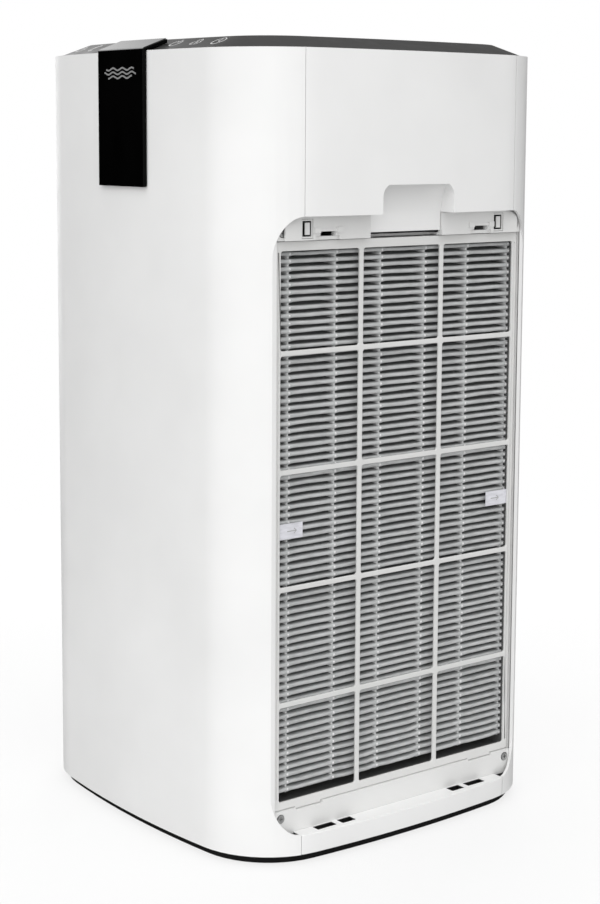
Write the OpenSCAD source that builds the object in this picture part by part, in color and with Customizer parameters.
// Tower air purifier with a filter behind each side, a double-inlet fan and a top outlet.
// Front is -Y, the opened filter bay is on +X, and the floor is at z = 0.

/* [Body] */
// Width across the two bowed side walls
body_w = 360.5; // [340:1:440]
// Depth across the bowed front and rear walls
body_d = 358.1; // [340:1:440]
// Height of the white walls
wall_h = 672; // [560:1:810]
// Bow of the front and rear walls
front_bow = 5.8; // [2:0.2:8]
// Bow of the side walls
side_bow = 4.2; // [2:0.2:6]
// Corner radius seen from above
corner_r = 76; // [60:1:84]
// Thickness of every outer wall
wall = 2.6; // [2.2:0.1:3.2]
// Gap at the seams between the outer panels
seam_gap = 0.5; // [0.3:0.1:1]
// Distance of the vertical seams past the start of the corners
seam_step = 20.45; // [14:0.05:24]

/* [Base] */
// Height of the white walls above the floor
base_drop = 8.5; // [7:0.5:14]
// Set-back of the black base under the walls
base_inset = 5.6; // [4:0.2:14]
// Thickness of the base floor
floor_t = 6; // [5:0.5:6]
// Radius of each rubber foot
foot_r = 11; // [8:0.5:14]
// Distance of the feet past the middle of the corners' curves
foot_step = 15; // [0:1:24]
// Radius of the screws' shanks
screw_r = 1.75; // [1.4:0.05:2.2]
// Radius of the screws' heads
screw_head_r = 3.6; // [3:0.1:4.2]

/* [Top] */
// Width of the sloping black rim
bevel_w = 28; // [20:1:34]
// Rise of the sloping black rim
bevel_rise = 10.3; // [6:0.1:16]
// Thickness of the top cover
top_t = 2.5; // [2:0.1:3]
// Gap between the white rim and the black slope
rim_gap = 0.6; // [0.4:0.1:1.2]
// Depth of the grille under the crest
grille_sink = 2.8; // [1:0.1:4]
// Height of the grille's slats
slat_h = 4.5; // [3:0.1:6]
// Width of one slat
slat_t = 2.4; // [1.8:0.1:3]
// Distance between slats
slat_pitch = 9.5; // [8:0.1:14]

/* [Strap] */
// Width of the glossy front strap
strap_w = 71.5; // [50:0.5:90]
// Thickness of the strap
strap_t = 3; // [2:0.1:4]
// Height of the strap's lower end below the white rim
strap_drop = 114; // [80:1:160]
// Length of the strap's leg on the slope
strap_top = 24; // [14:1:28]
// Thickness of that leg at its end
leg_t = 4.2; // [3:0.1:4.4]
// Chamfer along the strap's edges
strap_chamfer = 1.1; // [0.4:0.1:1.4]

/* [Side opening] */
// Depth of the recessed surround under the middle of the side wall
open_depth = 18.75; // [16:0.05:20]
// Height of the opening's lower ledge above the floor
open_low = 25.5; // [22:0.5:40]
// Height of the opening's top edge below the white rim
open_top_drop = 135; // [110:1:160]
// Height of the opening's rounded corners
open_corner_h = 37; // [24:1:50]
// Half width of the finger recess
recess_half = 40; // [30:1:50]
// Height of the finger recess above the opening
recess_h = 25.5; // [16:0.5:40]
// Corner radius of the finger recess
recess_r = 11; // [6:0.5:14]
// Height of the catch band along the opening's top
band_h = 20; // [16:0.5:26]
// Projection of the catch band from the surround
band_out = 3; // [2:0.1:4]

/* [Filter] */
// Set-in of the filter frame's sides from the surround's edge
filter_rim = 0.4; // [0.2:0.1:6]
// Depth of the filter frame from front to back
filter_depth = 39.2; // [30:0.2:44]
// Clearance around the filter in its bay
filter_gap = 0.5; // [0.3:0.1:1]
// Set-back of the filter's face from the surround
filter_back = 2.4; // [1.5:0.1:4]
// Width of the filter frame's outer border
border_w = 5.4; // [4:0.1:9]
// Width of the grid's upright bars
bar_v = 4.4; // [3.5:0.1:8]
// Width of the grid's level bars
bar_h = 4.2; // [3.5:0.1:7]
// Distance from one upright bar to the next
column_pitch = 90.8; // [80:0.1:96]
// Distance from one level bar to the next
row_pitch = 98.9; // [88:0.1:106]
// Thickness of the grid
grid_t = 2; // [1.6:0.1:4]
// Distance from one pleat to the next
pleat_pitch = 6.4; // [5:0.1:9]
// Depth of the pleats
pleat_depth = 28; // [20:0.5:29]
// Thickness of the folded filter paper
paper_t = 1.1; // [0.8:0.1:1.6]
// Thickness of the foam gasket behind the frame
gasket_t = 3; // [2:0.1:4]

/* [Cover] */
// Clearance round the left cover
cover_gap = 0.5; // [0.4:0.1:1]
// Width of one air slot in the cover
slot_w = 4.2; // [3:0.1:5]
// Distance between the air slots
slot_pitch = 9; // [8:0.1:14]
// Rows of air slots
slot_rows = 5; // [3:1:7]

/* [Latches] */
// Distance of each cover latch in from the band's end
latch_in = 23; // [20:0.5:30]
// Width of the latch slider
latch_w = 11.4; // [9:0.1:13]
// Height of the latch slider
latch_h = 15.6; // [12:0.1:16]
// Clearance round the latch slider
latch_gap = 0.3; // [0.2:0.05:0.5]
// Travel of the latch slider
latch_travel = 3; // [2:0.5:4]

/* [Fan] */
// Room between the scroll's widest point and the front or rear wall
scroll_room = 13.45; // [8:0.05:30]
// Gap between the impeller's ends and the scroll's side plates
impeller_gap = 9; // [6:0.5:20]
// Number of impeller blades
blades = 40; // [24:1:48]
// Height of the fan's axis above the middle of the filter
fan_rise = 4.6; // [0:0.1:30]
// Clearance between the impeller and the scroll's tongue
tongue_gap = 8; // [5:0.5:12]
// Growth of the scroll's radius from tongue to outlet
scroll_growth = 40; // [30:1:42]
// Half length of the scroll
scroll_half = 75; // [74:1:85]
// Radius of the motor shaft
shaft_r = 4; // [3:0.1:6]
// Running clearance of the shaft in its bearings
shaft_gap = 0.05; // [0.02:0.01:0.1]
// Radius of the motor
motor_r = 42; // [34:1:50]

/* [Hidden] */
$fn = 48;

body_white = [0.93, 0.93, 0.92];
frame_white = [0.84, 0.84, 0.82];
cover_black = [0.09, 0.09, 0.10];
gloss_black = [0.02, 0.02, 0.02];
paper_grey = [0.66, 0.67, 0.68];
carbon_black = [0.12, 0.12, 0.13];
tag_white = [0.93, 0.93, 0.97];
steel = [0.70, 0.71, 0.73];
board_green = [0.10, 0.34, 0.20];
rubber = [0.07, 0.07, 0.07];
inner_grey = [0.45, 0.46, 0.48];

// The strap stands proud of the front, so the body sits back by half of that.
body_y = strap_t / 2;

wall_low = base_drop;
wall_top = base_drop + wall_h;
total_h = wall_top + bevel_rise;

half_w = body_w / 2;
half_d = body_d / 2;
corner_x = half_w - corner_r - side_bow;
corner_y = half_d - corner_r - front_bow;
front_arc_r = (corner_x ^ 2 + front_bow ^ 2) / (2 * front_bow);
side_arc_r = (corner_y ^ 2 + side_bow ^ 2) / (2 * side_bow);
seam_y = corner_y + seam_step;
foot_x = corner_x + foot_step;
foot_y = corner_y + foot_step;
open_x = half_w - open_depth;
front_turn = asin(corner_x / front_arc_r);
side_turn = asin(corner_y / side_arc_r);

// Points from angle a to angle b on a circle of radius r about c.
function arc(c, r, a, b, n) = [for (i = [0:n])
    c + r * [cos(a + (b - a) * i / n), sin(a + (b - a) * i / n)]];
// Points of one quarter of the plan: half a side wall, a corner and half a front wall.
function quarter(inset, n_side, n_corner) = concat(
    arc([half_w - corner_r - side_arc_r, 0], side_arc_r + corner_r - inset, 0, side_turn, n_side),
    arc([corner_x, corner_y], corner_r - inset, side_turn, 90 - front_turn, n_corner),
    arc([0, half_d - corner_r - front_arc_r], front_arc_r + corner_r - inset, 90 - front_turn, 90,
        n_side));
function flipped(points) = [for (i = [len(points) - 1:-1:0]) points[i]];
// Drops the repeated points where two runs meet.
function unique(points) = [for (i = [0:len(points) - 1])
    if (norm(points[i] - points[(i + 1) % len(points)]) > 0.001) points[i]];
function plan(inset, n_side = 5, n_corner = 11) = let (q = quarter(inset, n_side, n_corner))
    unique(concat(
    q,
    flipped([for (p = q) [-p[0], p[1]]]),
    [for (p = q) [-p[0], -p[1]]],
    flipped([for (p = q) [p[0], -p[1]]])));
// How far out the wall reaches at a distance y from the middle, at a given inset.
function side_x(y, inset) = abs(y) < corner_y
    ? half_w - corner_r - side_arc_r + sqrt((side_arc_r + corner_r - inset) ^ 2 - y ^ 2)
    : corner_x + sqrt(max(0, (corner_r - inset) ^ 2 - (abs(y) - corner_y) ^ 2));
function front_y(x, inset) = abs(x) < corner_x
    ? half_d - corner_r - front_arc_r + sqrt((front_arc_r + corner_r - inset) ^ 2 - x ^ 2)
    : corner_y + sqrt(max(0, (corner_r - inset) ^ 2 - (abs(x) - corner_x) ^ 2));

// The opening, its surround and the band.
open_top = wall_top - open_top_drop;
open_half = corner_y + sqrt(corner_r ^ 2 - (open_x - corner_x) ^ 2);
open_corner_w = open_half - seam_y + seam_gap / 2;
surround_t = 2.5;
surround_half = corner_y + sqrt((corner_r - wall - 0.25) ^ 2 - (open_x - corner_x) ^ 2);
surround_low = wall_low + 2.5;
surround_high = open_top + 7;
band_low = open_top - band_h;
ledge_t = 2.5;

// The filter and its pocket.
filter_half = surround_half - filter_rim;
filter_low = open_low + 20.5;
filter_top = band_low - 0.7;
filter_face = open_x - filter_back;
filter_rear = filter_face - filter_depth;
pocket_t = 2.2;
roof_notch = 9;
pocket_low = filter_low - filter_gap;
pocket_high = band_low;
pocket_half = filter_half + filter_gap;
stop_t = 4;
stop_x = filter_rear - gasket_t - 0.2;
stop_w = 12;
brace_y = 44;
brace_half = 1.5;
braces = 4;
window_low = filter_low + border_w + 1.3;
window_high = filter_top - border_w - 2.3;
window_half = filter_half - border_w;
grid_columns = 3;
grid_rows = 5;
tab_half_w = 14;
tab_y = filter_half - 36.5;
tab_drop = 2;
frame_wall = 2.4;

// Cover hooks, ledge slots and latches.
slot_near = open_x + 1;
slot_far = slot_near + 9.5;
hook_y = 64;
hook_half = 6;
hook_slot_half = 7.5;
hook_drop = 8;
hook_t = 2.5;
grip_y = 87.5;
grip_half = 10.5;
latch_z = open_top - 10.5;
latch_face = open_x + band_out - 0.9;
latch_len = 17;
latch_slot = 2.8;
latch_rim = 1;
slot_y = -latch_w / 2 + latch_rim + latch_slot / 2;
prong_t = 2;
latch_room = latch_travel + 1;
band_end = corner_y + sqrt((corner_r - wall) ^ 2 - (open_x + band_out - corner_x) ^ 2) - 1.4;
latch_y = band_end - latch_in;
catch_y = latch_y - 21.5;
catch_half = 12.4;
catch_boss = 3;
catch_z = open_top - 12;
bay_screw_y = surround_half - 5.8;
bay_screw_top = open_top - 13.5;
bay_screw_low = open_low + 13.7;
boss_r = 4;
head_sink = 1.6;
bay_screw_len = 14;
base_screw_len = 22;

// The fan.
scroll_wall = 2.5;
scroll_r1 = half_d - wall - scroll_room;
scroll_r0 = scroll_r1 - scroll_growth;
fan_r = scroll_r0 - tongue_gap;
fan_half = scroll_half - impeller_gap;
fan_z = (filter_low + filter_top) / 2 + fan_rise;
tongue_angle = 60;
scroll_top = open_top + 14.5;
plate_half = half_d - 19;
inlet_r = fan_r - 21;
duct_top = wall_top - 2;

module placed(colour) translate([0, body_y, 0]) color(colour) children();
// Sends a right-hand piece to the left.
module side(s) mirror([s < 0 ? 1 : 0, 0, 0]) children();
module slab(inset, z0, z1) translate([0, 0, z0]) linear_extrude(z1 - z0) polygon(plan(inset));
module block(low, high) translate(low) cube(high - low);
// A rod along X.
module rod_x(r, x0, x1) translate([x0, 0, 0]) rotate([0, 90, 0]) cylinder(r = r, h = x1 - x0);
module tube_x(r_out, r_in, x0, x1) difference() {
    rod_x(r_out, x0, x1);
    rod_x(r_in, x0 - 1, x1 + 1);
}

// Outline of the side opening in Y and Z, grown or shrunk by grow.
function opening(grow) = let (w = open_corner_w, h = open_corner_h, y = open_half - w,
    zt = open_top - h,
    zb = open_low + h, n = 9, a = w + grow, b = h + grow) concat(
    [for (i = [0:n]) [y + a * cos(90 * i / n), zt + b * sin(90 * i / n)]],
    [for (i = [0:n]) [-y - a * sin(90 * i / n), zt + b * cos(90 * i / n)]],
    [for (i = [0:n]) [-y - a * cos(90 * i / n), zb - b * sin(90 * i / n)]],
    [for (i = [0:n]) [y + a * sin(90 * i / n), zb - b * cos(90 * i / n)]]);
// Turns a drawing in Y and Z into a bar along X.
module along_x(x0, x1) translate([x0, 0, 0]) rotate([90, 0, 90]) linear_extrude(x1 - x0) children();
// Turns a drawing in X and Z into a bar along Y.
module along_y(y0, y1) translate([0, y1, 0]) rotate([90, 0, 0]) linear_extrude(y1 - y0) children();
module opening_cut(grow, x0) along_x(x0, half_w + 20) polygon(opening(grow));

module screw_x(x_head, length) {
    difference() {
        rod_x(screw_head_r, x_head - 2, x_head);
        for (turn = [0, 90]) rotate([turn, 0, 0]) block([x_head - 1.2, -2, -0.4], [x_head + 1, 2, 0.4]);
    }
    rod_x(screw_r, x_head - length, x_head - 2);
}

// Base.
base_low = 1.2;
boss_x = corner_x + 20;
boss_y = corner_y + 52;

module base_tray() placed(cover_black) difference() {
    union() {
        slab(base_inset, base_low, wall_low);
        slab(wall + 0.4, wall_low, wall_low + 2.5);
    }
    slab(base_inset + 2.5, base_low - 1, wall_low + 2.5 - floor_t);
    for (x = [-boss_x, boss_x], y = [-boss_y, boss_y]) translate([x, y, 0])
        cylinder(r = screw_r + 0.3, h = 20);
}
base_floor = wall_low + 2.5;
base_under = base_floor - floor_t;

module rubber_feet() placed(rubber)
    for (x = [-foot_x, foot_x], y = [-foot_y, foot_y]) translate([x, y, 0]) {
        cylinder(r1 = foot_r - 1, r2 = foot_r, h = 1);
        translate([0, 0, 1]) cylinder(r = foot_r, h = base_under - 1);
    }

module base_screws() placed(steel)
    for (x = [-boss_x, boss_x], y = [-boss_y, boss_y]) translate([x, y, 0]) {
        translate([0, 0, base_under - 2]) cylinder(r = screw_head_r, h = 2);
        translate([0, 0, base_under]) cylinder(r = screw_r, h = base_screw_len);
    }

// A corner of the walls: front for f = -1, rear for f = 1.
module wall_wrap(f) {
    intersection() {
        difference() {
            slab(0, wall_low, wall_top);
            slab(wall, wall_low - 1, wall_top + 1);
        }
        mirror([0, f < 0 ? 1 : 0, 0]) block([-half_w - 1, seam_y + seam_gap / 2, 0],
            [half_w + 1, half_d + 1, total_h]);
    }
}
module shell(f) {
    yf = f < 0 ? 1 : 0;
    difference() {
        union() {
            wall_wrap(f);
            mirror([0, yf, 0]) intersection() {
                slab(wall - 0.5, wall_low, wall_top);
                union() {
                    rim_ledge();
                    for (s = [0, 1]) mirror([s, 0, 0]) shell_bosses();
                }
            }
        }
        for (s = [-1, 1]) side(s) opening_cut(0, open_x);
        for (s = [0, 1]) mirror([s, 0, 0]) mirror([0, yf, 0]) boss_holes();
    }
}
ledge_z = wall_top - 3.5;
module rim_ledge() intersection() {
    difference() {
        slab(wall - 0.5, ledge_z - 2.5, ledge_z);
        slab(wall + 5, ledge_z - 4, ledge_z + 1);
    }
    block([-half_w, seam_y + seam_gap / 2, 0], [half_w, half_d, total_h]);
}
module shell_bosses() {
    translate([boss_x, boss_y, base_floor]) cylinder(r = boss_r, h = 28);
    block([boss_x - 1.2, boss_y, base_floor], [boss_x + 1.2, half_d, base_floor + 28]);
    for (z = [bay_screw_top, bay_screw_low]) {
        translate([0, bay_screw_y, z]) rod_x(boss_r - 0.4, open_x - 17, open_x - surround_t);
        block([open_x - 17, bay_screw_y, z - 1.2], [open_x - surround_t - 3, half_d, z + 1.2]);
    }
}
module boss_holes() {
    translate([boss_x, boss_y, base_floor - 1]) cylinder(r = screw_r, h = base_screw_len);
    for (z = [bay_screw_top, bay_screw_low])
        translate([0, bay_screw_y, z]) rod_x(screw_r, open_x - bay_screw_len, open_x);
}

peg_r = 3;
peg_len = 7;
peg_drop = [22, 96];
board_post = 5;
board_w = 56;
board_h = 86;
board_t = 1.6;
board_z = wall_top - 70;
post_x = board_w / 2 - 6;
post_z = board_h / 2 - 5;
module display_posts() for (x = [-post_x, post_x], z = [board_z - post_z, board_z + post_z])
    block([x - 2, -half_d + wall - 0.5, z - 2], [x + 2, -half_d + wall + board_post, z + 2]);

module front_shell() placed(body_white) difference() {
    union() {
        shell(-1);
        display_posts();
    }
    for (drop = peg_drop) translate([0, -half_d - 5, wall_top - drop]) rotate([-90, 0, 0])
        cylinder(r = peg_r, h = 12);
}

inlet_z = 46;
inlet_w = 27;
inlet_h = 15;
vent_x = -92;
vent_z = wall_top - 260;
sensor_y = front_y(vent_x, wall) - 3;
module rear_shell() placed(body_white) difference() {
    union() {
        shell(1);
        for (z = [-14, 14]) intersection() {
            block([vent_x - 3, sensor_y, vent_z + z - 2], [vent_x + 3, half_d, vent_z + z + 2]);
            slab(wall - 0.5, 0, total_h);
        }
    }
    block([-inlet_w / 2, half_d - 12, inlet_z - inlet_h / 2],
        [inlet_w / 2, half_d + 1, inlet_z + inlet_h / 2]);
    for (i = [-3:3]) if (abs(i) != 2)
        block([vent_x - 9, half_d - 20, vent_z + i * 6 - 1.2],
            [vent_x + 9, half_d + 1, vent_z + i * 6 + 1.2]);
}

// Side panels.
module panel_skin(z0, z1) intersection() {
    difference() {
        slab(0, z0, z1);
        slab(wall, z0 - 1, z1 + 1);
    }
    block([open_x - 10, -seam_y + seam_gap / 2, z0], [half_w + 1, seam_y - seam_gap / 2, z1]);
}
// A level shelf from the skin back to the surround.
module shelf(z0, z1) intersection() {
    slab(wall - 0.5, z0, z1);
    block([open_x, -seam_y + seam_gap / 2, z0], [half_w + 1, seam_y - seam_gap / 2, z1]);
}
scoop_t = 2;
scoop_low = band_low + 4.5;
scoop_x = open_x + 0.6;
scoop_top = open_top + recess_h;
// Curve of the finger scoop, from the wall at the top in and down to its lip.
function scoop_line(off) = let (x0 = half_w - 1.2, dx = x0 - scoop_x) [for (i = [0:12])
    [scoop_x - off + dx * (1 - sin(90 * i / 12)) ^ 1.15,
        scoop_top - 1 + off * 0.6 - (scoop_top - scoop_low - 10) * (1 - cos(90 * i / 12))]];
module scoop_profile(off) polygon(concat(scoop_line(off),
    [[scoop_x - off, scoop_low], [half_w + 30, scoop_low], [half_w + 30, scoop_top - 1 + off * 0.6]]));
module recess_outline(grow) {
    y = recess_half + grow - recess_r;
    polygon(concat(
        [[-recess_half - grow, scoop_low - 2], [recess_half + grow, scoop_low - 2]],
        [for (i = [0:8]) [y + recess_r * cos(90 * i / 8),
            scoop_top + grow - recess_r + recess_r * sin(90 * i / 8)]],
        [for (i = [0:8]) [-y - recess_r * sin(90 * i / 8),
            scoop_top + grow - recess_r + recess_r * cos(90 * i / 8)]]));
}
module upper_panel() {
    difference() {
        union() {
            panel_skin(open_top, wall_top);
            shelf(open_top, open_top + ledge_t);
            intersection() {
                union() {
                    slab(0.3, open_top, scoop_top + scoop_t);
                    block([scoop_x - scoop_t, -recess_half, scoop_low],
                        [scoop_x + 0.4, recess_half, open_top + 1]);
                }
                along_x(open_x - 6, half_w) recess_outline(scoop_t);
                along_y(-recess_half - scoop_t, recess_half + scoop_t) difference() {
                    scoop_profile(scoop_t);
                    translate([0, -1]) square([1, 1]);
                }
            }
        }
        intersection() {
            along_x(open_x - 20, half_w + 10) recess_outline(0);
            along_y(-recess_half, recess_half) scoop_profile(0);
        }
    }
}
module lower_panel() difference() {
    union() {
        panel_skin(wall_low, open_low);
        shelf(open_low - ledge_t, open_low);
    }
    for (m = [-1, 1]) {
        ledge_slot(m * grip_y, grip_half, slot_near, slot_far - 1);
        ledge_slot(m * hook_y, hook_slot_half, slot_near, slot_far);
    }
}
module ledge_slot(y, half, x0, x1) block([x0, y - half, open_low - 10], [x1, y + half, open_low + 1]);

module right_upper_panel() placed(body_white) upper_panel();
module left_upper_panel() placed(body_white) side(-1) upper_panel();
module right_lower_panel() placed(body_white) lower_panel();
module left_lower_panel() placed(body_white) side(-1) lower_panel();

// Filter bay: the surround, the pocket round the filter and the stop behind it.
module filter_bay() difference() {
    union() {
        surround();
        pocket();
        band();
    }
    for (m = [-1, 1], z = [bay_screw_top, bay_screw_low]) translate([0, m * bay_screw_y, z]) {
        rod_x(screw_r + 0.2, open_x - 6, open_x + 1);
        rod_x(screw_head_r + 0.5, open_x - head_sink, open_x + 1);
    }
    for (m = [-1, 1]) {
        block([open_x - 20, m * latch_y - latch_w / 2 - latch_gap, latch_z - latch_h / 2 - latch_gap],
            [open_x + 10, m * latch_y + latch_w / 2 + latch_gap, latch_z + latch_h / 2 + latch_gap]);
        catch_cut(m);
        tab_cut(m);
    }
}
module surround() difference() {
    block([open_x - surround_t, -surround_half, surround_low], [open_x, surround_half, surround_high]);
    block([open_x - 10, -pocket_half, pocket_low], [open_x + 10, pocket_half, pocket_high]);
    block([open_x - 10, -recess_half - 3, band_low - 1],
        [open_x + 10, recess_half + 3, surround_high + 1]);
}
module pocket() {
    x1 = open_x - surround_t;
    difference() {
        block([stop_x - stop_t, -pocket_half - pocket_t, pocket_low - pocket_t],
            [x1, pocket_half + pocket_t, pocket_high + pocket_t]);
        block([stop_x, -pocket_half, pocket_low], [x1 + 1, pocket_half, pocket_high]);
        block([stop_x - stop_t - 1, -pocket_half + stop_w, pocket_low + stop_w],
            [stop_x + 1, pocket_half - stop_w, pocket_high - stop_w]);
        block([x1 - roof_notch, -recess_half, pocket_high - 1],
            [x1 + 1, recess_half, pocket_high + pocket_t + 1]);
    }
    for (y = [-brace_y, brace_y])
        block([stop_x - stop_t, y - brace_half, pocket_low + 1],
            [stop_x - 1, y + brace_half, pocket_high - 1]);
    for (k = [1:braces]) let (z = pocket_low + (pocket_high - pocket_low) * k / (braces + 1))
        block([stop_x - stop_t, -pocket_half + 1, z - brace_half],
            [stop_x - 1, pocket_half - 1, z + brace_half]);
}
module band() for (m = [-1, 1]) {
    inner = recess_half + 0.6;
    y0 = m < 0 ? -band_end : inner;
    y1 = m < 0 ? -inner : band_end;
    intersection() {
        block([open_x - surround_t, y0, band_low], [open_x + band_out, y1, open_top - 0.3]);
        opening_cut(-cover_gap, open_x - surround_t - 1);
    }
    // Latch box behind the band.
    block([open_x - 22, m * latch_y - latch_w / 2 - 2.2, pocket_high],
        [open_x, m * latch_y + latch_w / 2 + 2.2, latch_z + latch_h / 2 + 2.2]);
    // Catch: a bar between two bosses.
    for (e = [-1, 1]) let (y = m * catch_y + e * (catch_half - 0.6))
        block([open_x + band_out, y - catch_boss, catch_z - 2.2],
            [open_x + band_out + 1.8, y + catch_boss, catch_z + 2.2]);
    block([open_x + band_out - 1, m * catch_y - catch_half + 2, catch_z - 1],
        [open_x + band_out + 1.1, m * catch_y + catch_half - 2, catch_z + 1]);
}
// Under the catch's bar: a slot, and a shallower notch through the band's lower lip.
module catch_cut(m) {
    block([open_x - 9, m * catch_y - 8, catch_z - 5],
        [open_x + band_out + 5, m * catch_y + 8, catch_z - 1]);
    block([open_x + 0.8, m * catch_y - catch_half, band_low - 1],
        [open_x + band_out + 5, m * catch_y + catch_half, catch_z - 4.5]);
}
module tab_cut(m) block([stop_x + 1, m * tab_y - tab_half_w - filter_gap, pocket_low - tab_drop],
    [open_x + 5, m * tab_y + tab_half_w + filter_gap, pocket_low + 1]);

module right_filter_bay() placed(body_white) filter_bay();
module left_filter_bay() placed(body_white) side(-1) filter_bay();

module bay_screws() for (m = [-1, 1], z = [bay_screw_top, bay_screw_low])
    translate([0, m * bay_screw_y, z]) screw_x(open_x - head_sink + 2, bay_screw_len);
module right_bay_screws() placed(steel) bay_screws();
module left_bay_screws() placed(steel) side(-1) bay_screws();

// Push latch: a slider whose jaws take the cover's prong.
module latch(m) translate([0, m * latch_y, latch_z]) difference() {
    block([latch_face - latch_len, -latch_w / 2, -latch_h / 2], [latch_face, latch_w / 2, latch_h / 2]);
    block([latch_face - 9, slot_y - latch_slot / 2, -latch_h / 2 + 1.4],
        [latch_face + 1, slot_y + latch_slot / 2, latch_h / 2 - 1.4]);
    // Arms of the gap over and under the jaw, and the step behind it.
    for (z = [-latch_h / 2 + 1.4, latch_h / 2 - 2.8])
        block([latch_face - 5, slot_y, z], [latch_face + 1, latch_w / 2 - 2.6, z + 1.4]);
    block([latch_face - 1.6, latch_w / 2 - 2.8, -latch_h / 2 + 1.4],
        [latch_face + 1, latch_w / 2 - 1, latch_h / 2 - 1.4]);
}
module right_front_latch() placed(frame_white) latch(-1);
module right_rear_latch() placed(frame_white) latch(1);
module left_front_latch() placed(frame_white) side(-1) latch(-1);
module left_rear_latch() placed(frame_white) side(-1) latch(1);

// Filter.
module filter_frame() {
    x1 = filter_face;
    x0 = filter_rear;
    difference() {
        block([x0, -filter_half, filter_low], [x1, filter_half, filter_top]);
        block([x0 - 1, -filter_half + frame_wall, filter_low + frame_wall],
            [x1 - grid_t, filter_half - frame_wall, filter_top - frame_wall]);
        grid_windows();
        rail_grooves();
    }
    for (m = [-1, 1]) block([x0 + 6, m * tab_y - tab_half_w, filter_low - tab_drop],
        [x1, m * tab_y + tab_half_w, filter_low + 1]);
}
// The two edges of window i of n, with the bars a pitch apart about the middle and
// the first and last windows taking what is left.
function window_edges(i, n, pitch, bar, low, high) = let (first = (low + high - (n - 2) * pitch) / 2) [
    i == 0 ? low : first + (i - 1) * pitch + bar / 2,
    i == n - 1 ? high : first + i * pitch - bar / 2];
function column_edges(c) = window_edges(c, grid_columns, column_pitch, bar_v, -window_half, window_half);
function row_edges(r) = window_edges(r, grid_rows, row_pitch, bar_h, window_low, window_high);
module grid_windows() for (c = [0:grid_columns - 1], r = [0:grid_rows - 1])
    let (y = column_edges(c), z = row_edges(r)) translate([0, y[0], z[0]])
        along_x(filter_face - 10, filter_face + 1) rounded_rect(y[1] - y[0], z[1] - z[0], 2.2);
// A rectangle from the origin with small round corners.
module rounded_rect(w, h, r) polygon([for (k = [0:3], i = [0:4]) let (a = 90 * k + 90 * i / 4)
    [(k == 0 || k == 3 ? w - r : r) + r * cos(a), (k < 2 ? h - r : r) + r * sin(a)]]);
module rail_grooves() for (m = [-1, 1])
    block([filter_face - 0.8, m * (filter_half - 2.6) - 0.5, filter_low + 9],
        [filter_face + 1, m * (filter_half - 2.6) + 0.5, filter_top - 9]);

pleat_x = filter_face - grid_t - 3.8;
media_half = filter_half - frame_wall;
media_low = filter_low + frame_wall;
media_high = filter_top - frame_wall;
pleats = floor((media_high - media_low - 4) / pleat_pitch);
pleat_start = (media_high + media_low - pleats * pleat_pitch) / 2;
// The folded paper: a zigzag line in X and Z, given a thickness.
function zigzag(off) = [for (i = [0:2 * pleats])
    [i % 2 == 0 ? pleat_x - pleat_depth + off : pleat_x + off, pleat_start + i * pleat_pitch / 2]];
module pleats() {
    along_y(-media_half, media_half) polygon(concat(zigzag(0), flipped(zigzag(-paper_t * 4))));
    for (z = [media_low, media_high - 2])
        block([pleat_x - pleat_depth, -media_half, z], [pleat_x - 6, media_half, z + 2]);
    block([pleat_x - pleat_depth - paper_t * 4, -media_half, media_low],
        [pleat_x - pleat_depth, media_half, pleat_start]);
    block([pleat_x - pleat_depth - paper_t * 4, -media_half, pleat_start + pleats * pleat_pitch],
        [pleat_x - pleat_depth, media_half, media_high]);
}
mat_x1 = pleat_x - pleat_depth - paper_t * 4;
module carbon_mat() block([filter_rear, -media_half, media_low], [mat_x1, media_half, media_high]);
module gasket() difference() {
    block([filter_rear - gasket_t, -filter_half + 1, filter_low + 1],
        [filter_rear, filter_half - 1, filter_top - 1]);
    block([filter_rear - 9, -filter_half + 9, filter_low + 9],
        [filter_rear + 9, filter_half - 9, filter_top - 9]);
}
tag_w = 25.4;
tag_h = 13;
tag_row = row_edges(2);
tag_z = tag_row[0] + (tag_row[1] - tag_row[0]) * 0.425;
module filter_tags() for (m = [0, 1]) mirror([0, 1 - m, 0])
    block([filter_face - grid_t - 0.5, window_half - tag_w, tag_z],
        [filter_face - grid_t, media_half, tag_z + tag_h]);

module right_filter_frame() placed(frame_white) filter_frame();
module right_pleats() placed(paper_grey) pleats();
module right_carbon_mat() placed(carbon_black) carbon_mat();
module right_gasket() placed(inner_grey) gasket();
module right_filter_tags() placed(tag_white) filter_tags();
module left_filter_frame() placed(frame_white) side(-1) filter_frame();
module left_pleats() placed(paper_grey) side(-1) pleats();
module left_carbon_mat() placed(carbon_black) side(-1) carbon_mat();
module left_gasket() placed(inner_grey) side(-1) gasket();
module left_filter_tags() placed(tag_white) side(-1) filter_tags();

// Left cover, drawn on the right and mirrored.
module cover_skin() intersection() {
    difference() {
        slab(0, open_low, open_top);
        slab(wall, open_low - 1, open_top + 1);
    }
    opening_cut(-cover_gap, open_x + 0.6);
}
slot_field_half = seam_y - 5.7;
slot_field_low = open_low + 34;
slot_field_high = open_top - 34;
module cover_slots() {
    n = floor(slot_field_half / slot_pitch);
    row_h = (slot_field_high - slot_field_low) / slot_rows;
    for (c = [-n:n], r = [0:slot_rows - 1])
        translate([0, c * slot_pitch - slot_w / 2, slot_field_low + r * row_h + 4])
            along_x(open_x - 5, half_w + 5) rounded_rect(slot_w, row_h - 8, slot_w / 2 - 0.1);
}
module cover_prongs() for (m = [-1, 1]) {
    y = m * latch_y + slot_y;
    block([latch_face - 7, y - prong_t / 2, latch_z - 5],
        [side_x(latch_y, wall) + 0.4, y + prong_t / 2, latch_z + 5]);
}
module cover_hooks() for (m = [-1, 1])
    block([slot_far - 4 - hook_t, m * hook_y - hook_half, open_low - hook_drop],
        [slot_far - 4, m * hook_y + hook_half, open_low + 6]);
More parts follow.
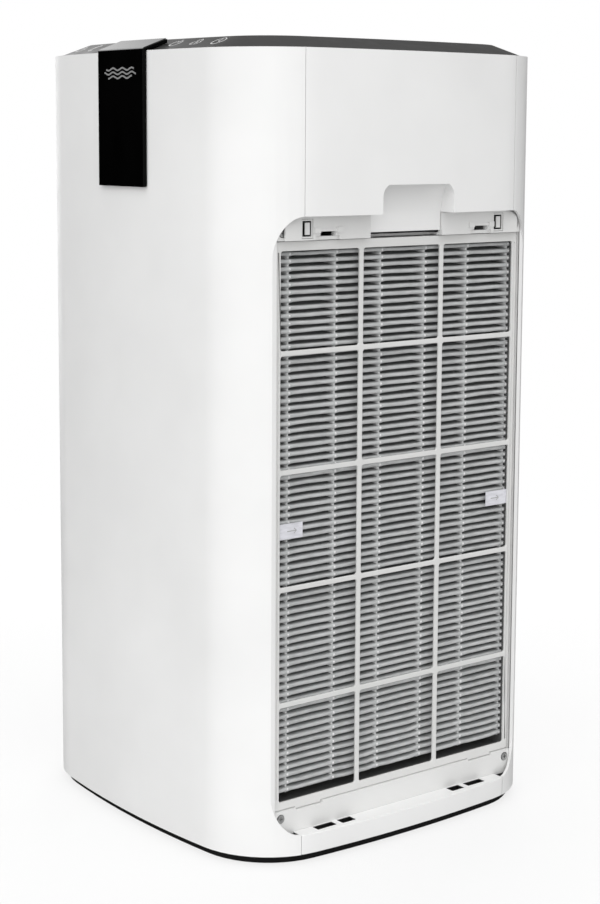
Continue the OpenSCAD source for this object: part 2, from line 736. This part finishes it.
module hook_webs() for (m = [-1, 1])
    block([slot_far - 4 - hook_t, m * hook_y - hook_half, open_low + cover_gap],
        [side_x(hook_y, wall) + 0.4, m * hook_y + hook_half, open_low + 6]);
module left_cover() placed(body_white) side(-1) {
    difference() {
        cover_skin();
        cover_slots();
    }
    cover_prongs();
    cover_hooks();
    hook_webs();
}

// Top.
cover_inset = wall + rim_gap;
crest_inset = cover_inset + bevel_w;
grille_top = total_h - grille_sink;
grille_seat = grille_top - slat_h;
rib_x = 72;
rib_half = 1.6;
module bevel_solid(down) hull() {
    slab(cover_inset + down * 0.6, wall_top - 0.4 - down, wall_top - 0.3 - down);
    slab(crest_inset, total_h - 0.1 - down, total_h - down);
}
module top_cover() placed(cover_black) {
    difference() {
        bevel_solid(0);
        bevel_solid(top_t);
        slab(crest_inset + top_t, ledge_z - 5, total_h + 1);
    }
    difference() {
        slab(crest_inset, grille_seat - 2.5, total_h - 0.4);
        slab(crest_inset + top_t, grille_seat, total_h + 1);
        slab(crest_inset + 8, grille_seat - 5, total_h + 1);
    }
    difference() {
        slab(cover_inset, ledge_z, wall_top - 0.3);
        slab(cover_inset + top_t, ledge_z - 1, wall_top + 1);
    }
}
module outlet_grille() placed(cover_black) {
    edge = crest_inset + top_t + 0.4;
    difference() {
        slab(edge, grille_seat, grille_top);
        slab(edge + 7, grille_seat - 1, grille_top + 1);
    }
    intersection() {
        slab(edge + 6, grille_seat, grille_top);
        union() {
            for (i = [-floor(half_d / slat_pitch):floor(half_d / slat_pitch)])
                block([-half_w, i * slat_pitch - slat_t / 2, grille_seat],
                    [half_w, i * slat_pitch + slat_t / 2, grille_top]);
            for (x = [-rib_x, 0, rib_x])
                block([x - rib_half, -half_d, grille_seat], [x + rib_half, half_d, grille_top - 1.2]);
        }
    }
}

// Strap: a thin plate down the front that folds back up the slope.
bevel_angle = atan(bevel_rise / bevel_w);
strap_low = wall_top - strap_drop;
fold_z = wall_top + 1.2;
function strap_side(off) = let (y = -half_d - strap_t + off, s = strap_top, a = bevel_angle) [
    [y, strap_low + off],
    [y, fold_z - off * 0.6],
    [y + 1.2, fold_z + 1.2 - off],
    [y + 1.2 + s * cos(a), fold_z + 1.2 + s * sin(a) - off],
    [y + 1.2 + s * cos(a), fold_z + 1.2 + s * sin(a) - leg_t],
    [-half_d, fold_z + 1.2 - strap_t * 0.7],
    [-half_d, strap_low + off]];
module front_strap() placed(gloss_black) {
    w = strap_w / 2;
    c = strap_chamfer;
    translate([-w + c, 0, 0]) rotate([90, 0, 90]) linear_extrude(2 * (w - c)) polygon(strap_side(0));
    for (m = [0, 1]) mirror([m, 0, 0]) translate([w - c, 0, 0]) rotate([90, 0, 90])
        linear_extrude(c) polygon(strap_side(c * 0.6));
    for (drop = peg_drop) translate([0, -half_d - 1, wall_top - drop]) rotate([-90, 0, 0])
        cylinder(r = peg_r, h = peg_len);
}

// Boards under the strap and the slope.
module display_board() placed(board_green)
    block([-board_w / 2, -half_d + wall + board_post, board_z - board_h / 2],
        [board_w / 2, -half_d + wall + board_post + board_t, board_z + board_h / 2]);
touch_z = grille_seat - 2.5 - board_t;
touch_half = corner_x + 18;
module touch_board() placed(board_green)
    block([-touch_half, -half_d + crest_inset - 1, touch_z],
        [touch_half, -half_d + crest_inset + 10.5, touch_z + board_t]);

// Outlet duct from the scroll's mouth to the grille.
fan_y = 3;
mouth_y0 = fan_y + scroll_r0 * cos(tongue_angle);
mouth_y1 = fan_y + scroll_r1;
duct_half_x = half_w - crest_inset - 14;
duct_half_y = half_d - crest_inset - 14;
module duct_solid(grow) hull() {
    block([-scroll_half + scroll_wall - grow, mouth_y0 - grow, scroll_top],
        [scroll_half - scroll_wall + grow, mouth_y1 + grow, scroll_top + 0.5]);
    block([-duct_half_x - grow, -duct_half_y - grow, duct_top - 0.5],
        [duct_half_x + grow, duct_half_y + grow, duct_top]);
}
module outlet_duct() placed(inner_grey) difference() {
    union() {
        duct_solid(2);
        block([-duct_half_x - 2, -duct_half_y - 2, duct_top - 0.5],
            [duct_half_x + 2, duct_half_y + 2, grille_seat - 2.5]);
    }
    translate([0, 0, 0.6]) duct_solid(0);
    translate([0, 0, -0.6]) duct_solid(0);
    block([-duct_half_x, -duct_half_y, duct_top - 1], [duct_half_x, duct_half_y, grille_seat + 1]);
}

// Scroll: a spiral wall between two side plates, split at the middle.
ear_angles = [120, 200, 280];
ear_len = 8;
ring_screws = [45:90:315];
ring_screw_r = inlet_r + 8;
function scroll_line(off) = concat(
    [for (i = [0:40]) let (t = i / 40, r = scroll_r0 + scroll_growth * t + off,
        a = tongue_angle + (360 - tongue_angle) * t)
        [fan_y + r * cos(a), fan_z + r * sin(a)]],
    [[mouth_y1 + off, scroll_top], [mouth_y0 - off, scroll_top]]);
module scroll_half_piece() {
    difference() {
        along_x(0, scroll_half) polygon(scroll_line(scroll_wall));
        along_x(-1, scroll_half + 1) polygon(scroll_line(0));
    }
    difference() {
        block([scroll_half, -plate_half, base_floor],
            [scroll_half + scroll_wall, plate_half + 8, scroll_top]);
        translate([0, fan_y, fan_z]) rod_x(inlet_r, 0, 200);
        for (a = ring_screws) translate([0, fan_y, fan_z]) rotate([a, 0, 0])
            translate([0, ring_screw_r, 0]) rod_x(screw_r, 0, 200);
        block([scroll_half - 1, -plate_half - 1, 0], [scroll_half + 4, -plate_half + 30, 60]);
    }
    for (a = ear_angles) scroll_ear(a, 0, ear_len);
}
function ear_at(a) = let (t = (a - tongue_angle) / (360 - tongue_angle),
    r = scroll_r0 + scroll_growth * t + scroll_wall + 3.5)
    [0, fan_y + r * cos(a), fan_z + r * sin(a)];
module scroll_ear(a, x0, x1) translate(ear_at(a)) tube_x(4.5, screw_r, x0, x1);
module left_scroll_half() placed(inner_grey) side(-1) scroll_half_piece();
module right_scroll_half() placed(inner_grey) scroll_half_piece();
module scroll_screws() placed(steel) for (a = ear_angles) translate(ear_at(a)) {
    rod_x(screw_r, -ear_len, ear_len);
    rod_x(screw_head_r, ear_len, ear_len + 2);
}

// Inlet rings on the side plates.
module inlet_ring() translate([0, fan_y, fan_z]) {
    x0 = scroll_half + scroll_wall;
    difference() {
        union() {
            tube_x(inlet_r + 14, inlet_r - 3, x0, x0 + 2);
            tube_x(inlet_r, inlet_r - 3, fan_half + 2.5, x0 + 1);
        }
        for (a = ring_screws) rotate([a, 0, 0]) translate([0, ring_screw_r, 0]) rod_x(screw_r, 0, 200);
    }
}
module left_inlet_ring() placed(inner_grey) side(-1) inlet_ring();
module right_inlet_ring() placed(inner_grey) inlet_ring();

// Motor on its mount across the left inlet, with rubber bushes at the arms' ends.
mount_x = -(scroll_half + scroll_wall + 2 + 6);
bush_r = 5;
motor_back = mount_x;
motor_front = -18;
module motor_mount() placed(steel) translate([0, fan_y, fan_z]) difference() {
    union() {
        rod_x(motor_r + 6, mount_x - 2, mount_x);
        for (a = ring_screws) rotate([a, 0, 0]) block([mount_x - 2, 0, -6], [mount_x, inlet_r + 16, 6]);
    }
    rod_x(12, mount_x - 5, mount_x + 5);
    for (a = ring_screws) rotate([a, 0, 0]) translate([0, ring_screw_r, 0])
        rod_x(screw_r, mount_x - 5, mount_x + 5);
}
module mount_bushes() placed(rubber) translate([0, fan_y, fan_z])
    for (a = ring_screws) rotate([a, 0, 0]) translate([0, ring_screw_r, 0])
        tube_x(bush_r, screw_r, mount_x, -(scroll_half + scroll_wall + 2));
bearing_r = 9;
bearing_w = 7;
module motor() placed(inner_grey) translate([0, fan_y, fan_z]) difference() {
    union() {
        rod_x(motor_r, motor_back, motor_front);
        rod_x(14, motor_front, motor_front + 4);
    }
    rod_x(shaft_r + 1.5, motor_back - 1, motor_front + 5);
    rod_x(bearing_r, motor_back - 1, motor_back + bearing_w);
    rod_x(bearing_r, motor_front + 4 - bearing_w, motor_front + 5);
    for (a = [0:15:345]) rotate([a, 0, 0])
        block([motor_back + 8, motor_r - 1.5, -1], [motor_front - 8, motor_r + 1, 1]);
}
module motor_bearings() placed(steel) translate([0, fan_y, fan_z]) {
    tube_x(bearing_r, shaft_r + shaft_gap, motor_back, motor_back + bearing_w);
    tube_x(bearing_r, shaft_r + shaft_gap, motor_front + 4 - bearing_w, motor_front + 4);
}
hub_r = 13;
hub_low = -10;
hub_high = 12;
module motor_shaft() placed(steel) translate([0, fan_y, fan_z])
    rod_x(shaft_r, motor_back + 0.5, hub_high + 9);
module impeller_nut() placed(steel) translate([0, fan_y, fan_z]) difference() {
    translate([hub_high, 0, 0]) rotate([0, 90, 0]) cylinder(r = 8, h = 6, $fn = 6);
    rod_x(shaft_r, hub_high - 1, hub_high + 7);
}
blade_in = fan_r - 18;
module impeller() placed(cover_black) translate([0, fan_y, fan_z]) {
    difference() {
        union() {
            rod_x(fan_r - 1, -1.5, 1.5);
            rod_x(hub_r, hub_low, hub_high);
        }
        rod_x(shaft_r, hub_low - 1, hub_high + 1);
    }
    for (s = [-1, 1]) side(s) tube_x(fan_r, blade_in + 4, fan_half - 4, fan_half);
    along_x(-fan_half + 1, fan_half - 1) for (i = [0:blades - 1]) rotate(360 * i / blades)
        translate([blade_in, 0]) rotate(28) translate([0, -0.7]) square([17, 1.4]);
}

// Electronics at the foot of the rear wall.
box_low = base_floor;
box_h = 84;
box_half = 62;
box_y1 = half_d - 21;
box_y0 = box_y1 - 62;
module board_box() placed(cover_black) difference() {
    block([-box_half, box_y0, box_low], [box_half, box_y1, box_low + box_h]);
    block([-box_half + 2, box_y0 - 1, box_low + 2], [box_half - 2, box_y1 - 2, box_low + box_h - 2]);
    block([-inlet_w / 2, box_y1 - 5, inlet_z - inlet_h / 2],
        [inlet_w / 2, box_y1 + 5, inlet_z + inlet_h / 2]);
}
module main_board() placed(board_green) {
    block([-box_half + 2, box_y0 + 10, box_low + 2],
        [box_half - 2, box_y0 + 11.6, box_low + box_h - 2]);
    for (c = [[-40, 20, 22, 16], [-10, 18, 18, 24], [22, 26, 26, 20], [-38, 54, 30, 8],
        [16, 58, 20, 10]])
        block([c[0], box_y0 + 11.6, box_low + c[1]],
            [c[0] + c[2], box_y0 + 11.6 + c[3], box_low + c[1] + c[2] * 0.8]);
}
module dust_sensor() placed(inner_grey) difference() {
    block([vent_x - 11, sensor_y - 18, vent_z - 22], [vent_x + 11, sensor_y, vent_z + 22]);
    block([vent_x - 4, sensor_y - 6, vent_z - 4], [vent_x + 4, sensor_y + 1, vent_z + 4]);
}
module mains_inlet() placed(cover_black) difference() {
    block([-inlet_w / 2, box_y1 - 4, inlet_z - inlet_h / 2],
        [inlet_w / 2, front_y(inlet_w / 2, 0), inlet_z + inlet_h / 2]);
    difference() {
        block([-9, box_y1 + 6, inlet_z - 4.6], [9, half_d + 1, inlet_z + 4.6]);
        for (m = [-1, 1]) translate([m * 4.3, box_y1 + 5, inlet_z]) rotate([-90, 0, 0])
            cylinder(r = 1.2, h = 10);
    }
}

base_tray();
rubber_feet();
base_screws();
front_shell();
rear_shell();
right_upper_panel();
right_lower_panel();
left_upper_panel();
left_lower_panel();
right_filter_bay();
left_filter_bay();
right_bay_screws();
left_bay_screws();
right_front_latch();
right_rear_latch();
left_front_latch();
left_rear_latch();
right_filter_frame();
right_pleats();
right_carbon_mat();
right_gasket();
right_filter_tags();
left_filter_frame();
left_pleats();
left_carbon_mat();
left_gasket();
left_filter_tags();
left_cover();
top_cover();
outlet_grille();
front_strap();
touch_board();
display_board();
outlet_duct();
left_scroll_half();
right_scroll_half();
scroll_screws();
left_inlet_ring();
right_inlet_ring();
motor_mount();
mount_bushes();
motor();
motor_bearings();
motor_shaft();
impeller();
impeller_nut();
board_box();
main_board();
dust_sensor();
mains_inlet();
